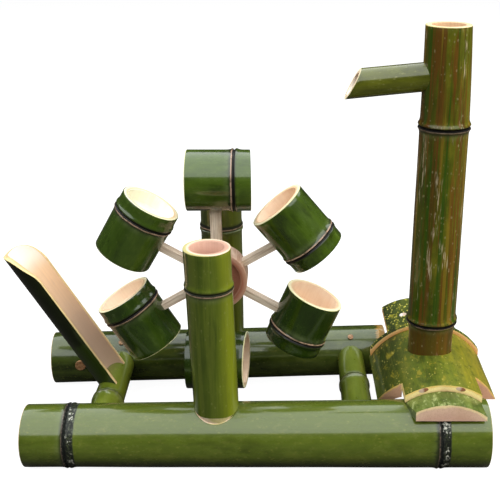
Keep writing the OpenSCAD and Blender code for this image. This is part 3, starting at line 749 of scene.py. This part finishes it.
add_post(
    "front", ((40, 62, 5), (65, 95, 7), (110, 150, 11)),
    ((35, 50, 5), (210, 240, 10), 0.9), 21.0, WHEEL_X, FRONT_Y, rail_axis_z(WHEEL_X),
    rail_radius(RAIL_REACH + WHEEL_X), 1, POST_R + 0.6, POST_NODE, FRONT_LEAN,
)
add_post(
    "rear", ((30, 40, 5), (60, 75, 8), (110, 120, 12)),
    ((20, 28, 4), (100, 120, 10), 0.7), 26.0, WHEEL_X - 1.0, REAR_Y, REAR_Z,
    REAR_R, -1, POST_R + 1.2, POST_NODE - 4.0, 0.0,
)


# Wheel

def spoke_cutter(k):
    end = CUP_RADII[k] - CUP_R + SPOKE_IN_CUP + GAP
    half_w, half_t = SPOKE_W / 2 + GAP, SPOKE_TS[k % 3] / 2 + GAP
    low, high = (SPOKE_START - GAP, -half_w, -half_t), (end, half_w, half_t)
    return block(WHEEL_PLACE @ turn(60 * k - 90, "Y"), low, high)


def add_hub():
    materials = [
        stick_material("hub_bark", (720, 520, 390), (500, 290, 200), (500, 500, 40), 5.0),
        grain_material("hub_cut", (460, 250, 170), (340, 130, 80), (620, 420, 300), HUB_BORE, HUB_R,
                       5.0),
        lining_material("hub_lining", (400, 200, 130), (250, 100, 60), 6.0),
        lining_material("hub_septum", (260, 100, 60), (150, 50, 30), 7.0),
    ]
    hole = AXLE_R + 0.05
    back = HUB_W / 2 - SPOKE_W / 2 - 0.05
    front = back - HUB_SEPTUM
    path = [(front, hole, SEPTUM), (front - 0.3, 12.0, SEPTUM), (front, 20.0, SEPTUM),
            (front - 0.8, HUB_BORE - 0.8, LINING), (front - 1.8, HUB_BORE, LINING)]
    path += tube_path(0, HUB_W, lambda z: HUB_R, HUB_BORE, step=4.0, bevel=0.5)
    path += bore_rows(HUB_W - 0.5, back + 1.8, HUB_BORE)
    path += [(back + 1.8, HUB_BORE, LINING), (back + 0.8, HUB_BORE - 0.8, SEPTUM), (back, 20.0, SEPTUM),
             (back + 0.3, 12.0, SEPTUM), (back, hole, SEPTUM)]
    place = WHEEL_PLACE @ move(0, -HUB_W / 2, 0) @ turn(-90, "X")
    revolve("hub_slice", path, place, materials, "hub", "wheel",
            [spoke_cutter(k) for k in range(6)], loop=True, wave=0.3, seed=31.0)


def slanted_end(q):
    """The top cup's closed end is sawn a little out of square."""
    if q.z < 4.0:
        q.z += 0.055 * q.y * (4.0 - q.z) / 4.0
    return q


def slanted_mouth(q):
    """The bottom cup's mouth is sawn out of square too, and shows its rim to the front."""
    q.z += 0.1 * q.y * max(0.0, (q.z - 40.0) / (CUP_LENGTHS[3] - 40.0))
    return q


cup_cut = grain_material(
    "cup_cut", (900, 840, 580), (800, 560, 340), (620, 600, 280), CUP_BORE, CUP_R, 8.0, 0.3
)
cup_inside = [
    lining_material("cup_lining", (960, 760, 580), (800, 540, 360), 8.0),
    lining_material("cup_septum", (1000, 860, 680), (860, 640, 460), 9.0),
]
pale_inside = [
    lining_material("pale_lining", (1000, 970, 800), (950, 860, 600), 8.5),
    lining_material("pale_septum", (1000, 980, 820), (920, 860, 600), 9.5),
]


def add_cup(k, tones, inside, warp):
    seed = 40.0 + k * 3.7
    skin = skin_material(
        "cup_%d_skin" % (k + 1), *tones, seed, flecks=(0.05, (250, 280, 80)), rings=(CUP_SEPTUM,),
        ring_flip=-1.0, rough=0.25,
    )
    place = (
        WHEEL_PLACE @ turn(60 * k - 90, "Y") @ move(CUP_RADII[k], 0, 0) @ turn(-CUP_TURNS[k], "Y")
        @ move(0, 0, -CUP_PLACES[k])
    )
    path = blind_path(0, CUP_LENGTHS[k], lambda z: CUP_R, CUP_BORE, (CUP_SEPTUM,), (CUP_SEPTUM, CUP_SEPTUM),
                      step=4.0, swell=1.1, flip=-1.0, foot_edge=SKIN)
    revolve("cup_%d_culm" % (k + 1), path, place, [skin, cup_cut, *inside], "cup_%d" % (k + 1),
            "wheel", [spoke_cutter(k)], segs=144, wave=0.4, seed=seed, warp=warp)


add_hub()
for k, (tones, inside, warp) in enumerate((
    (((20, 38, 4), (55, 95, 8), (100, 155, 15)), cup_inside, slanted_end),
    (((20, 36, 4), (50, 90, 7), (100, 155, 15)), cup_inside, None),
    (((7, 16, 2), (15, 33, 3), (34, 60, 6)), cup_inside, None),
    (((7, 15, 2), (17, 34, 3), (45, 72, 8)), cup_inside, slanted_mouth),
    (((8, 18, 2), (20, 42, 4), (45, 80, 8)), cup_inside, None),
    (((16, 32, 3), (36, 66, 7), (70, 110, 12)), pale_inside, None),
)):
    add_cup(k, tones, inside, warp)


# Column and spout

def column_radius(z):
    low, high = COLUMN_NODES
    if z < low:
        return COLUMN_FOOT_R + 0.3 * z / low + 1.7 * max(0.0, (z - 100.0) / (low - 100.0))
    if z < high:
        return COLUMN_MID_R - (COLUMN_MID_R - COLUMN_UPPER_R) * (z - low) / (high - low)
    return COLUMN_UPPER_R - (COLUMN_UPPER_R - COLUMN_TOP_R) * (z - high) / (COLUMN_TOP - high)


def column_bend(q):
    """The column bends slightly to the left above 300 mm."""
    q.x -= 1.5 * (max(0.0, q.z - 300.0) / (COLUMN_TOP - 300.0)) ** 2
    return q


def spout_tip(q):
    """Cuts the spout's tip obliquely, its top side longest."""
    drop = (q.x + SPOUT_R) * slope(SPOUT_CUT)
    q.z -= drop * min(max(0.0, (q.z - 60.0) / (SPOUT_END - 60.0)), 1.0)
    return q


def add_column():
    skin = skin_material(
        "column_skin", (20, 30, 2), (75, 85, 4), (170, 150, 10), 61.0,
        # Painted shade on the column's left and painted light on its right.
        sides=(22.0, (30, 30, 4), (140, 150, 12), 0.6),
        zones=((60, 83.5, (40, 12, 6), 0.75, False),), streaks=(0.9, (120, 45, 6)),
        green_stripes=(0.85,), stained_foot=(112, (110, 48, 8)), flecks=(0.3, (420, 360, 200)),
        scratches=(0.9,),
        rings=COLUMN_NODES, pale_scar=0.35, rough=0.36, coat=0.5,
    )
    cut = grain_material(
        "column_cut", (860, 720, 420), (720, 500, 300), (600, 500, 200), COLUMN_BORE, 21.0, 11.0
    )
    lining = lining_material("column_lining", (700, 460, 270), (400, 220, 120), 12.0)
    path = tube_path(0, COLUMN_TOP, column_radius, COLUMN_BORE, COLUMN_NODES, step=6.0, swell=1.5,
                     top_bore=COLUMN_TOP_BORE)
    above, bore = COLUMN_TOP - 0.7, COLUMN_TOP_BORE
    for node in reversed(COLUMN_NODES):
        top, bottom = node + SEPTUM_HALF, node - SEPTUM_HALF
        path += bore_rows(above, top, bore)
        path += [(top, COLUMN_BORE, SEPTUM), (top, HOSE_R, SEPTUM), (bottom, HOSE_R, SEPTUM),
                 (bottom, COLUMN_BORE, LINING)]
        above, bore = bottom, COLUMN_BORE
    path += bore_rows(above, 0.7, bore)
    materials = [skin, cut, lining, post_septum]
    revolve("column_culm", path, Matrix.Identity(4), materials, "column", loop=True, segs=144,
            wave=0.3, seed=61.0, warp=column_bend,
            cutters=[rod(SPOUT_PLACE @ move(0, 0, SPOUT_START), 60.0, SPOUT_R + GAP)])


def add_spout():
    materials = [
        skin_material("spout_skin", (50, 55, 4), (100, 110, 8), (170, 180, 20), 66.0,
                      flecks=(0.3, (350, 330, 120)), rough=0.26),
        grain_material("spout_cut", (1000, 880, 620), (850, 620, 420), (800, 660, 320), SPOUT_BORE,
                       SPOUT_R, 13.0),
        lining_material("spout_lining", (700, 480, 330), (300, 180, 80), 14.0, (104, 40)), post_septum,
    ]
    path = tube_path(SPOUT_START, SPOUT_END, lambda z: SPOUT_R, SPOUT_BORE, step=4.0, bevel=0.4)
    path += bore_rows(SPOUT_END - 0.4, SPOUT_START + 0.4, SPOUT_BORE)
    revolve("spout_culm", path, SPOUT_PLACE, materials, "spout", loop=True, segs=96, wave=0.15,
            seed=66.0, warp=spout_tip)


add_column()
add_spout()


# Saddle

def angle_of(x, r):
    return math.degrees(math.asin(x / r))


def low_angle(r):
    return math.degrees(math.acos((SADDLE_LOW_Z - SADDLE_Z) / r))


def shell(name, angles, ys, cell_at, r_out, skin, cut, replaced, seed, jitter=0.25, cutters=()):
    """Curved shell made of cells between angle lines and Y lines.

    cell_at(angle, y) gives None or (region, inner radius, inner angle for an outer angle, shift of y).
    """
    bm = bmesh.new()
    verts, cells = {}, {}
    for i, a in enumerate(zip(angles, angles[1:])):
        for j, y in enumerate(zip(ys, ys[1:])):
            cell = cell_at(sum(a) / 2, sum(y) / 2)
            if cell is not None:
                cells[(i, j)] = cell

    def vert(i, j, cell, inside):
        region, r, inner_angle, shift = cell
        key = (i, j, inside, region if inside or shift else 0)
        if key not in verts:
            angle, y = angles[i], ys[j]
            if not inside:
                spot = Vector((angle * 0.05 + seed, y * 0.04, seed))
                r = r_out + min(jitter * noise.noise(spot), 0.05)
            a = math.radians(inner_angle(angle) if inside else angle)
            if shift:
                y += shift(angle, y)
            verts[key] = bm.verts.new(Vector((r * math.sin(a), -r * math.cos(a), y)) * MM)
        return verts[key]

    for (i, j), cell in cells.items():
        corners = [(i, j), (i + 1, j), (i + 1, j + 1), (i, j + 1)]
        add_face(bm, [vert(*c, cell, False) for c in corners], SKIN)
        add_face(bm, [vert(*c, cell, True) for c in reversed(corners)], LINING)
        for k, (di, dj) in enumerate(((0, -1), (1, 0), (0, 1), (-1, 0))):
            a, b = corners[k], corners[(k + 1) % 4]
            other = cells.get((i + di, j + dj))
            wall = [vert(*b, cell, True), vert(*a, cell, True)]
            if other is None:
                add_face(bm, [vert(*b, cell, False), vert(*a, cell, False), *reversed(wall)], CUT)
            elif other[0] != cell[0] and cell[1] > other[1]:
                add_face(bm, [*wall, vert(*a, other, True), vert(*b, other, True)], CUT)
    materials = [skin, cut, shell_lining, cut]
    finish_mesh(bm, name, SADDLE_PLACE, materials, replaced, cutters=cutters)


shell_lining = lining_material("saddle_lining", (500, 330, 200), (300, 160, 90), 15.0)


def add_shell():
    skin = skin_material(
        "saddle_skin", (35, 55, 5), (120, 150, 11), (260, 240, 18), 71.0,
        # Painted shade on the shell's left and painted light on its right.
        sides=(52.0, (16, 26, 4), (300, 240, 12), 0.85), streaks=(0.3, (120, 130, 20)),
        blotches=(0.75, (270, 220, 20)), flecks=(0.55, (600, 500, 120), 0.53), rough=0.42, coat=0.35,
    )
    cut = grain_material(
        "saddle_cut", (1000, 800, 360), (440, 220, 130), (900, 620, 160), 54.0, 64.0, 15.0,
        ears=(680, 380, 250)
    )
    r_thick, r_thin = SADDLE_R - SADDLE_WALL, SADDLE_R - TONGUE_WALL
    edge, front = low_angle(SADDLE_R), angle_of(TONGUE_HALF, SADDLE_R)
    left, right = angle_of(BACK_LEFT, SADDLE_R), angle_of(BACK_RIGHT, SADDLE_R)
    edge_in, thick_in = low_angle(r_thick), angle_of(TONGUE_HALF, r_thick)
    front_in = angle_of(TONGUE_HALF, r_thin + GAP)
    thick_angle = bent((-edge, -edge_in), (-front, -thick_in), (front, thick_in), (edge, edge_in))
    front_angle = bent((-front, -front_in), (front, front_in))
    back_angle = bent((-left, -angle_of(BACK_LEFT, r_thin)), (right, angle_of(BACK_RIGHT, r_thin)))

    def ear_shift(angle, y):
        """The left ear's oblique edge: it stands further out beside the tongue than at its tip."""
        return -(y + SHELL_Y) * 0.86 * (-angle - front) / (edge - front)

    def cell_at(angle, y):
        if -SHELL_Y < y < SHELL_Y:
            return (0, r_thick, thick_angle, None)
        if y < -SHELL_Y and abs(angle) < front:
            return (1, r_thin + GAP, front_angle, None)
        if EAR_Y < y < -SHELL_Y and angle < -front:
            return (3, r_thick, thick_angle, ear_shift)
        if y > SHELL_Y and -left < angle < right:
            return (2, r_thin, back_angle, None)
        return None

    angles = lines((-edge, 12), (-front, 22), (right, 3), (front, 12), (edge, 0))
    ys = lines((TONGUE_Y, 8), (EAR_Y, 5), (-SHELL_Y, 26), (SHELL_Y, 14), (BACK_TONGUE_Y, 0))
    shell("saddle_shell_culm", angles, ys, cell_at, SADDLE_R, skin, cut, "saddle_shell", 71.0,
          cutters=[rod(Matrix.Identity(4), 120.0, COLUMN_FOOT_R + 0.55, segs=128)])


def add_band():
    skin = skin_material(
        "saddle_back_skin", (18, 28, 4), (50, 70, 8), (100, 120, 12), 75.0, rough=0.5,
        coat=0.2, blotches=(0.9, (260, 240, 20)), flecks=(1.0, (620, 560, 100), 0.34),
    )
    cut = grain_material(
        "saddle_back_cut", (950, 580, 240), (800, 400, 140), (900, 620, 200), SADDLE_R,
        SADDLE_R + BAND_WALL, 16.0
    )
    r_out = BAND_R + BAND_WALL
    edge, left, right = (angle_of(x, r_out) for x in (BAND_HALF, TAIL_LEFT, TAIL_RIGHT))
    edge_in, left_in, right_in = (angle_of(x, BAND_R) for x in (BAND_HALF, TAIL_LEFT, TAIL_RIGHT))
    inner_angle = bent((-edge, -edge_in), (-left, -left_in), (right, right_in), (edge, edge_in))

    def cell_at(angle, y):
        if y < BAND_BACK_Y:
            return (0, BAND_R, inner_angle, None)
        return (1, BAND_R, inner_angle, None) if -left < angle < right else None

    shell("saddle_back_shell_culm", lines((-edge, 9), (-left, 24), (right, 9), (edge, 0)),
          lines((BAND_Y, 4), (BAND_BACK_Y, 18), (TAIL_Y, 0)), cell_at, r_out, skin, cut,
          "saddle_back_shell", 75.0, 0.35)


def slab_under(x, y):
    """Height of the slab's underside, which is flat beside the rail and clears the node's ridge."""
    r = rail_radius(RAIL_REACH + x) + SEAT_GAP
    if abs(RAIL_REACH + x - RAIL_NODES[1]) < RIDGE_HALF:
        r += RIDGE_ROOM
    off = y - FRONT_Y
    return max(SLAB_LOW_Z, rail_axis_z(x) + math.sqrt(r * r - off * off) if abs(off) < r else 0.0)


def add_slab():
    skin = skin_material(
        "slab_skin", (50, 75, 10), (130, 170, 30), (300, 330, 110), 78.0, rough=0.36, coat=0.5,
        blotches=(0.85, (360, 400, 160)), flecks=(0.4, (500, 500, 250)),
    )
    cut = grain_material(
        "slab_cut", (740, 500, 360), (640, 400, 300), (1000, 800, 420), 44.0, 57.3, 17.0
    )
    bm = bmesh.new()
    ridge_x = RAIL_NODES[1] - RAIL_REACH - SADDLE_X
    ridge_lines = [ridge_x + side * (RIDGE_HALF + off) for side in (-1, 1) for off in (-0.05, 0.05)]
    xs = sorted(lines((-SLAB_HALF, 46), (SLAB_HALF, 0)) + ridge_lines)
    ys = lines((SLAB_FRONT_Y, 40), (-SHELL_Y - 0.05, 0))
    top, low = {}, {}
    for i, x in enumerate(xs):
        for j, y in enumerate(ys):
            r = SADDLE_R - TONGUE_WALL + min(0.25 * noise.noise(Vector((x * 0.05, y * 0.05, 8.0))), 0.0)
            taper = (6.0 if x < 0 else 1.2) * max(0.0, (-82.0 - y) / 23.0)
            side = x + taper * abs(x) / SLAB_HALF
            top[(i, j)] = bm.verts.new(Vector((side, -math.sqrt(r * r - side * side), y)) * MM)
            low[(i, j)] = bm.verts.new(Vector((side, SADDLE_Z - slab_under(side + SADDLE_X, y), y)) * MM)
    last_i, last_j = len(xs) - 1, len(ys) - 1
    for i in range(last_i):
        for j in range(last_j):
            corners = [(i, j), (i + 1, j), (i + 1, j + 1), (i, j + 1)]
            add_face(bm, [top[c] for c in corners], SKIN)
            add_face(bm, [low[c] for c in corners[:1] + corners[:0:-1]], CUT)
    rim = [((i, j), (i + 1, j), CUT) for j in (0, last_j) for i in range(last_i)]
    rim += [((i, j), (i, j + 1), SKIN) for i in (0, last_i) for j in range(last_j)]
    for a, b, kind in rim:
        add_face(bm, [top[a], low[a], low[b], top[b]], kind)
    finish_mesh(bm, "saddle_slab", SADDLE_PLACE, [skin, cut, cut, cut], "saddle_front_block")


def add_peg(name, place, length, r, squash, wood):
    """A peg standing on its place's Z, with a slightly domed head; squash flattens it along Y."""
    def flatten(q):
        q.y *= squash
        return q

    path = [(0, 0.0, CUT), (0, r - 0.4, CUT), (0.4, r, CUT), (length - 0.5, r, CUT),
            (length - 0.15, r - 0.4, CUT), (length, 0.0, CUT)]
    revolve(name, path, place, [wood] * 4, "saddle_pegs", segs=48, warp=flatten)


add_shell()
add_band()
add_slab()
front_peg = peg_wood("front_peg_wood", (620, 460, 360), (280, 120, 60), 4.8)
back_peg = peg_wood("back_peg_wood", (850, 760, 700), (600, 450, 360), 4.0)
for name, degrees in (("saddle_peg_left", -17.9), ("saddle_peg_right", 14.2)):
    place = move(SADDLE_X, -72.0, SADDLE_Z) @ turn(degrees, "Y") @ move(0, 0, 62.6) @ turn(90, "X")
    add_peg(name, place, 8.3, 4.9, 0.46, front_peg)
place = move(SADDLE_X, 70.0, SADDLE_Z) @ turn(-17.5, "Y") @ move(0, 0, 60.0)
add_peg("saddle_peg_back", place, 9.5, 3.9, 1.0, back_peg)


# Trough

trough_tip = bent(
    (-90, 138), (-86, 146), (-78, 152), (-70, 158.5), (-60, 166), (-50, 171), (-35, 174), (-15, 175),
    (10, 175), (30, 175), (46, 174), (58, 172), (66, 169.5), (74, 166), (80, 162), (86, 155), (90, 148),
)


def trough_foot(x, y):
    """Lowest z of the trough's wall at a place of its section, where it sits on the crossbar."""
    r = CROSS_R1 + (CROSS_R2 - CROSS_R1) * (TROUGH_Y + y - CROSS_START) / CROSS_LENGTHS[0] + SEAT_GAP
    off = x + TROUGH_RISE
    return math.sqrt(r * r - off * off) if abs(off) < r else 0.0


def add_trough(steps=56, rows=44, rim=0.6, edge_drop=0.35):
    skin = skin_material(
        "trough_skin", (2, 3, 1), (6, 9, 1.5), (14, 20, 3), 81.0, rough=0.4,
        zones=((-20, 62, (22, 38, 4), 0.8, False),), coat=0.5,
    )
    cut = grain_material(
        "trough_cut", (860, 660, 340), (740, 480, 240), (300, 270, 70), TROUGH_BORE, 24.3, 18.0
    )
    lining = lining_material("trough_lining", (1000, 700, 440), (620, 440, 320), 19.0, (170, 40))
    turns = lines((-90, steps), (90, 0))
    section = [(turn_at, TROUGH_R, SKIN) for turn_at in turns]
    section += [(90, TROUGH_R - rim, CUT), (90, TROUGH_BORE + rim, CUT)]
    section += [(turn_at, TROUGH_BORE, LINING) for turn_at in reversed(turns)]
    section += [(-90, TROUGH_BORE + rim, CUT), (-90, TROUGH_R - rim, CUT)]
    bm = bmesh.new()
    loops = []
    for degrees, r, _ in section:
        phi = math.radians(degrees)
        x, y = -r * math.cos(phi), r * math.sin(phi)
        if abs(degrees) > 89.9 and r in (TROUGH_R, TROUGH_BORE):
            x -= edge_drop
        low, high = trough_foot(x, y), trough_tip(degrees)
        loop = []
        for t in range(rows + 1):
            z = low + (high - low) * t / rows
            scale = 1.0 + min(0.3 * noise.noise(Vector((phi * 1.2, z * 0.02, 5.0))), 0.0) / r
            loop.append(bm.verts.new(Vector((x * scale, y * scale, z)) * MM))
        loops.append(loop)
    for k, (_, _, kind) in enumerate(section):
        a, b = loops[k], loops[(k + 1) % len(loops)]
        for t in range(rows):
            add_face(bm, [a[t], b[t], b[t + 1], a[t + 1]], kind)
    # Pairs of loops that face each other across the wall close its two ends.
    across = [(loops[k], loops[2 * steps + 3 - k]) for k in range(steps + 1)]
    across = [(loops[-1], loops[-2])] + across + [(loops[steps + 1], loops[steps + 2])]
    for t in (0, rows):
        for (a, b), (c, d) in zip(across, across[1:]):
            add_face(bm, [a[t], c[t], d[t], b[t]], CUT)
    place = move(CROSS_X[0], TROUGH_Y, CROSS_Z) @ turn(TROUGH_LEAN - 90, "Y") @ move(TROUGH_RISE, 0, 0)
    finish_mesh(bm, "trough_half_culm", place, [skin, cut, lining, cut], "trough")


add_trough()


# CAD nodes that stay

def dress(node, m, width=0.0):
    """Gives a node of the CAD model its material, and where a width is given rounded edges."""
    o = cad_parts[node]
    o.data.materials.clear()
    o.data.materials.append(m)
    if width:
        bevel = o.modifiers.new("edges", "BEVEL")
        bevel.width = width * MM
        bevel.segments = 2
        bevel.limit_method = "ANGLE"
        bevel.angle_limit = math.radians(40)


for k in range(1, 7):
    dress("spoke_%d" % k, spoke_wood(k, 60 * (k - 1)), 0.7)
stick = stick_material("stick", (740, 550, 360), (420, 260, 140), (700, 700, 700), 1.0)
for node in ("axle", "front_spacer", "rear_spacer"):
    dress(node, stick)
peg = stick_material("peg", (560, 360, 220), (260, 120, 50), (500, 500, 500), 2.0)
for node in ("post_dowels", "crossbar_pegs", "trough_pin"):
    dress(node, peg)
dress("rear_rail_plug", stick_material("plug", (500, 280, 130), (250, 110, 50), (600, 120, 600), 3.0))


# Floor, light and camera

def seen_directly(n):
    """The light path, and 1 for the rays that show a thing in the picture itself."""
    path = n.add("ShaderNodeLightPath", {}).outputs
    return path, n.math("MAXIMUM", path["Is Camera Ray"], path["Is Transmission Ray"])


def add_floor():
    bm = bmesh.new()
    bmesh.ops.create_grid(bm, x_segments=1, y_segments=1, size=6.0)
    mesh = bpy.data.meshes.new("floor")
    bm.to_mesh(mesh)
    bm.free()
    floor = bpy.data.objects.new("floor", mesh)
    bpy.context.collection.objects.link(floor)
    floor.location = (0, 0, -0.0006)
    m = bpy.data.materials.new("floor")
    n = Nodes(m)
    plain = n.add("ShaderNodeBsdfDiffuse", {"Color": (50, 47, 40)}).outputs[0]
    pale = n.add("ShaderNodeBsdfDiffuse", {"Color": (200, 200, 200)}).outputs[0]
    glow = n.add("ShaderNodeEmission", {"Color": WHITE, "Strength": 0.95}).outputs[0]
    both = n.add("ShaderNodeAddShader", {0: pale, 1: glow}).outputs[0]
    picked = n.add("ShaderNodeMixShader", {0: seen_directly(n)[1], 1: plain, 2: both}).outputs[0]
    n.add("ShaderNodeOutputMaterial", {"Surface": picked})
    mesh.materials.append(m)


def add_world(diffuse_level=0.09, glossy_level=0.02):
    """A white backdrop that lights the object dimly."""
    world = bpy.data.worlds.new("studio")
    bpy.context.scene.world = world
    n = Nodes(world)
    path, seen = seen_directly(n)
    rest = n.plus(diffuse_level, n.times(path["Is Glossy Ray"], glossy_level - diffuse_level))
    sky = n.add("ShaderNodeBackground", {"Color": WHITE, "Strength": n.math("MAXIMUM", seen, rest)})
    n.add("ShaderNodeOutputWorld", {"Surface": sky.outputs[0]})


def add_lamp(name, place, target, width, height, power, color, glossy):
    data = bpy.data.lights.new(name, "AREA")
    data.shape = "RECTANGLE"
    data.size = width
    data.size_y = height
    data.energy = power
    data.color = color
    o = bpy.data.objects.new(name, data)
    bpy.context.collection.objects.link(o)
    o.location = place
    o.rotation_euler = (Vector(target) - Vector(place)).to_track_quat("-Z", "Y").to_euler()
    o.visible_glossy = glossy


def add_camera(photo_px=500, focal_px=902, center_x_px=285, sensor_mm=36, pitch=21.54):
    """The photo's camera, worked out from its parallel rails, round rims and standing posts."""
    data = bpy.data.cameras.new("camera")
    data.sensor_width = sensor_mm
    data.lens = focal_px / photo_px * sensor_mm
    data.shift_x = (photo_px / 2 - center_x_px) / photo_px
    camera = bpy.data.objects.new("camera", data)
    bpy.context.collection.objects.link(camera)
    camera.location = (-0.1465, -0.814, 0.508)
    camera.rotation_euler = (math.radians(90 - pitch), 0, 0)
    bpy.context.scene.camera = camera


add_floor()
add_world()
add_lamp("overhead_softbox", (-0.15, -0.3, 1.6), (-0.15, -0.3, 0.0), 5.0, 4.2, 150, (0.96, 1.0, 1.0), True)
add_lamp("side_softbox", (1.7, -0.6, 0.7), (-0.1, 0.0, 0.15), 1.0, 1.2, 24, (1.0, 0.95, 0.82), False)
add_lamp("front_fill", (-0.5, -2.2, 1.1), (-0.15, 0.0, 0.15), 1.6, 1.0, 6, (1.0, 0.97, 0.92), False)
add_camera()
bpy.context.scene.view_settings.view_transform = "Standard"
